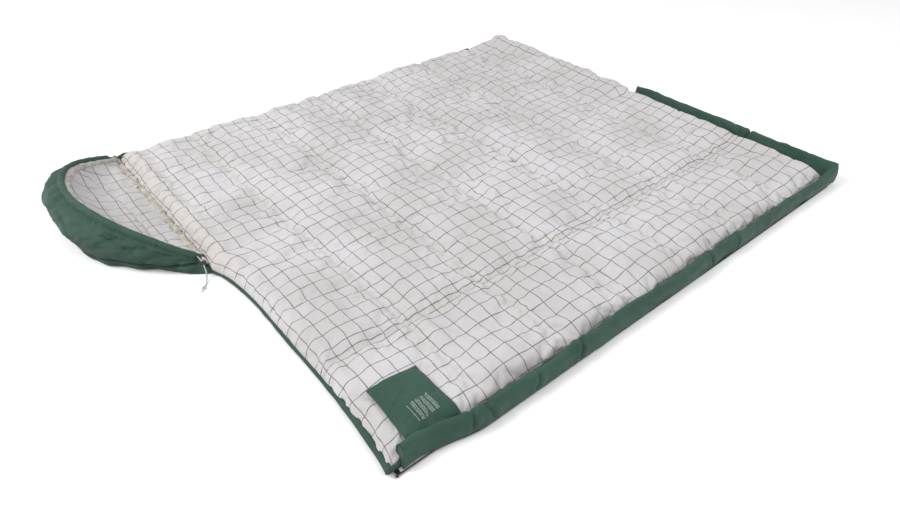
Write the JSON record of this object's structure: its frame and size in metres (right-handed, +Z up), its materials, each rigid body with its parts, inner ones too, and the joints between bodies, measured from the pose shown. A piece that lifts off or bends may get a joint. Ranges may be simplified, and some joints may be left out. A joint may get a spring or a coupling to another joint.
{
  "type": "rectangular sleeping bag",
  "caption": "Padded rectangular sleeping bag with a scooped hood, unzipped and laid out flat, checked lining up, with draft tubes, zip and inner pocket.",
  "frame": {"origin": "on the ground, under the middle of the opened bag's outline (hood included, loose drawcord left out)", "axes": "+X runs from the hood to the foot, +Y from the fold line to the hooded back half's open edge, +Z up"},
  "size_m": [2.3223, 1.8638, 0.1979],
  "materials": {
    "shell_fabric": "matte",
    "lining_fabric": "matte",
    "wadding": "matte",
    "zip_tape": "matte",
    "zip_coil": "satin",
    "binding": "matte",
    "slider_metal": "satin",
    "pull_red": "satin",
    "cord": "matte",
    "lock_plastic": "satin",
    "spring_steel": "satin"
  },
  "bodies": {
    "back_half": {"back_outer_shell": "shell_fabric", "back_insulation": "wadding", "back_lining": "lining_fabric", "back_edge_binding": "binding", "back_zip_tape": "zip_tape", "back_zip_coil": "zip_coil", "back_zip_top_stop": "slider_metal", "back_zip_pin": "slider_metal"},
    "front_half": {"front_outer_shell": "shell_fabric", "front_insulation": "wadding", "front_lining": "lining_fabric", "front_edge_binding": "binding", "front_zip_tape": "zip_tape", "front_zip_coil": "zip_coil", "front_zip_top_stop": "slider_metal", "front_zip_box": "slider_metal", "side_draft_tube_cover": "shell_fabric", "side_draft_tube_filling": "wadding", "foot_draft_tube_cover": "shell_fabric", "foot_draft_tube_filling": "wadding", "inner_pocket": "shell_fabric", "inner_pocket_hem": "shell_fabric"},
    "hood": {"hood_outer_shell": "shell_fabric", "hood_insulation": "wadding", "hood_lining": "lining_fabric", "hood_rim_casing": "shell_fabric", "hood_inner_drawcord": "cord", "drawcord_end": "cord", "drawcord_knot": "cord", "cord_lock_barrel": "lock_plastic", "cord_lock_spring": "spring_steel"},
    "slider": {"zip_slider": "slider_metal"},
    "slider_pull": {"zip_slider_pull": "pull_red"},
    "lock_button": {"cord_lock_button": "lock_plastic"}
  },
  "joints": [
    {"name": "fold", "type": "hinge", "parent": "back_half", "child": "front_half", "pos_m": [0.1, 0, 0.05], "axis": [-1, 0, 0], "range_deg": [0, 177]},
    {"name": "hood_lift", "type": "hinge", "parent": "back_half", "child": "hood", "pos_m": [-0.852, 0.47, 0.046], "axis": [0, 1, 0], "range_deg": [0, 65]},
    {"name": "slider_travel", "type": "slide", "parent": "back_half", "child": "slider", "axis": [1, 0, 0], "range_m": [-1.74, 0.13]},
    {"name": "pull_swing", "type": "hinge", "parent": "slider", "child": "slider_pull", "pos_m": [0.9494, 0.9275, 0.0093], "axis": [0, 1, 0], "range_deg": [0, 170]},
    {"name": "lock_button_press", "type": "slide", "parent": "hood", "child": "lock_button", "axis": [0.9969, -0.0782, 0], "range_m": [0, 0.0034], "stiffness_N_per_m": 400, "springref_m": -0.003, "deforming": ["cord_lock_spring"]}
  ]
}
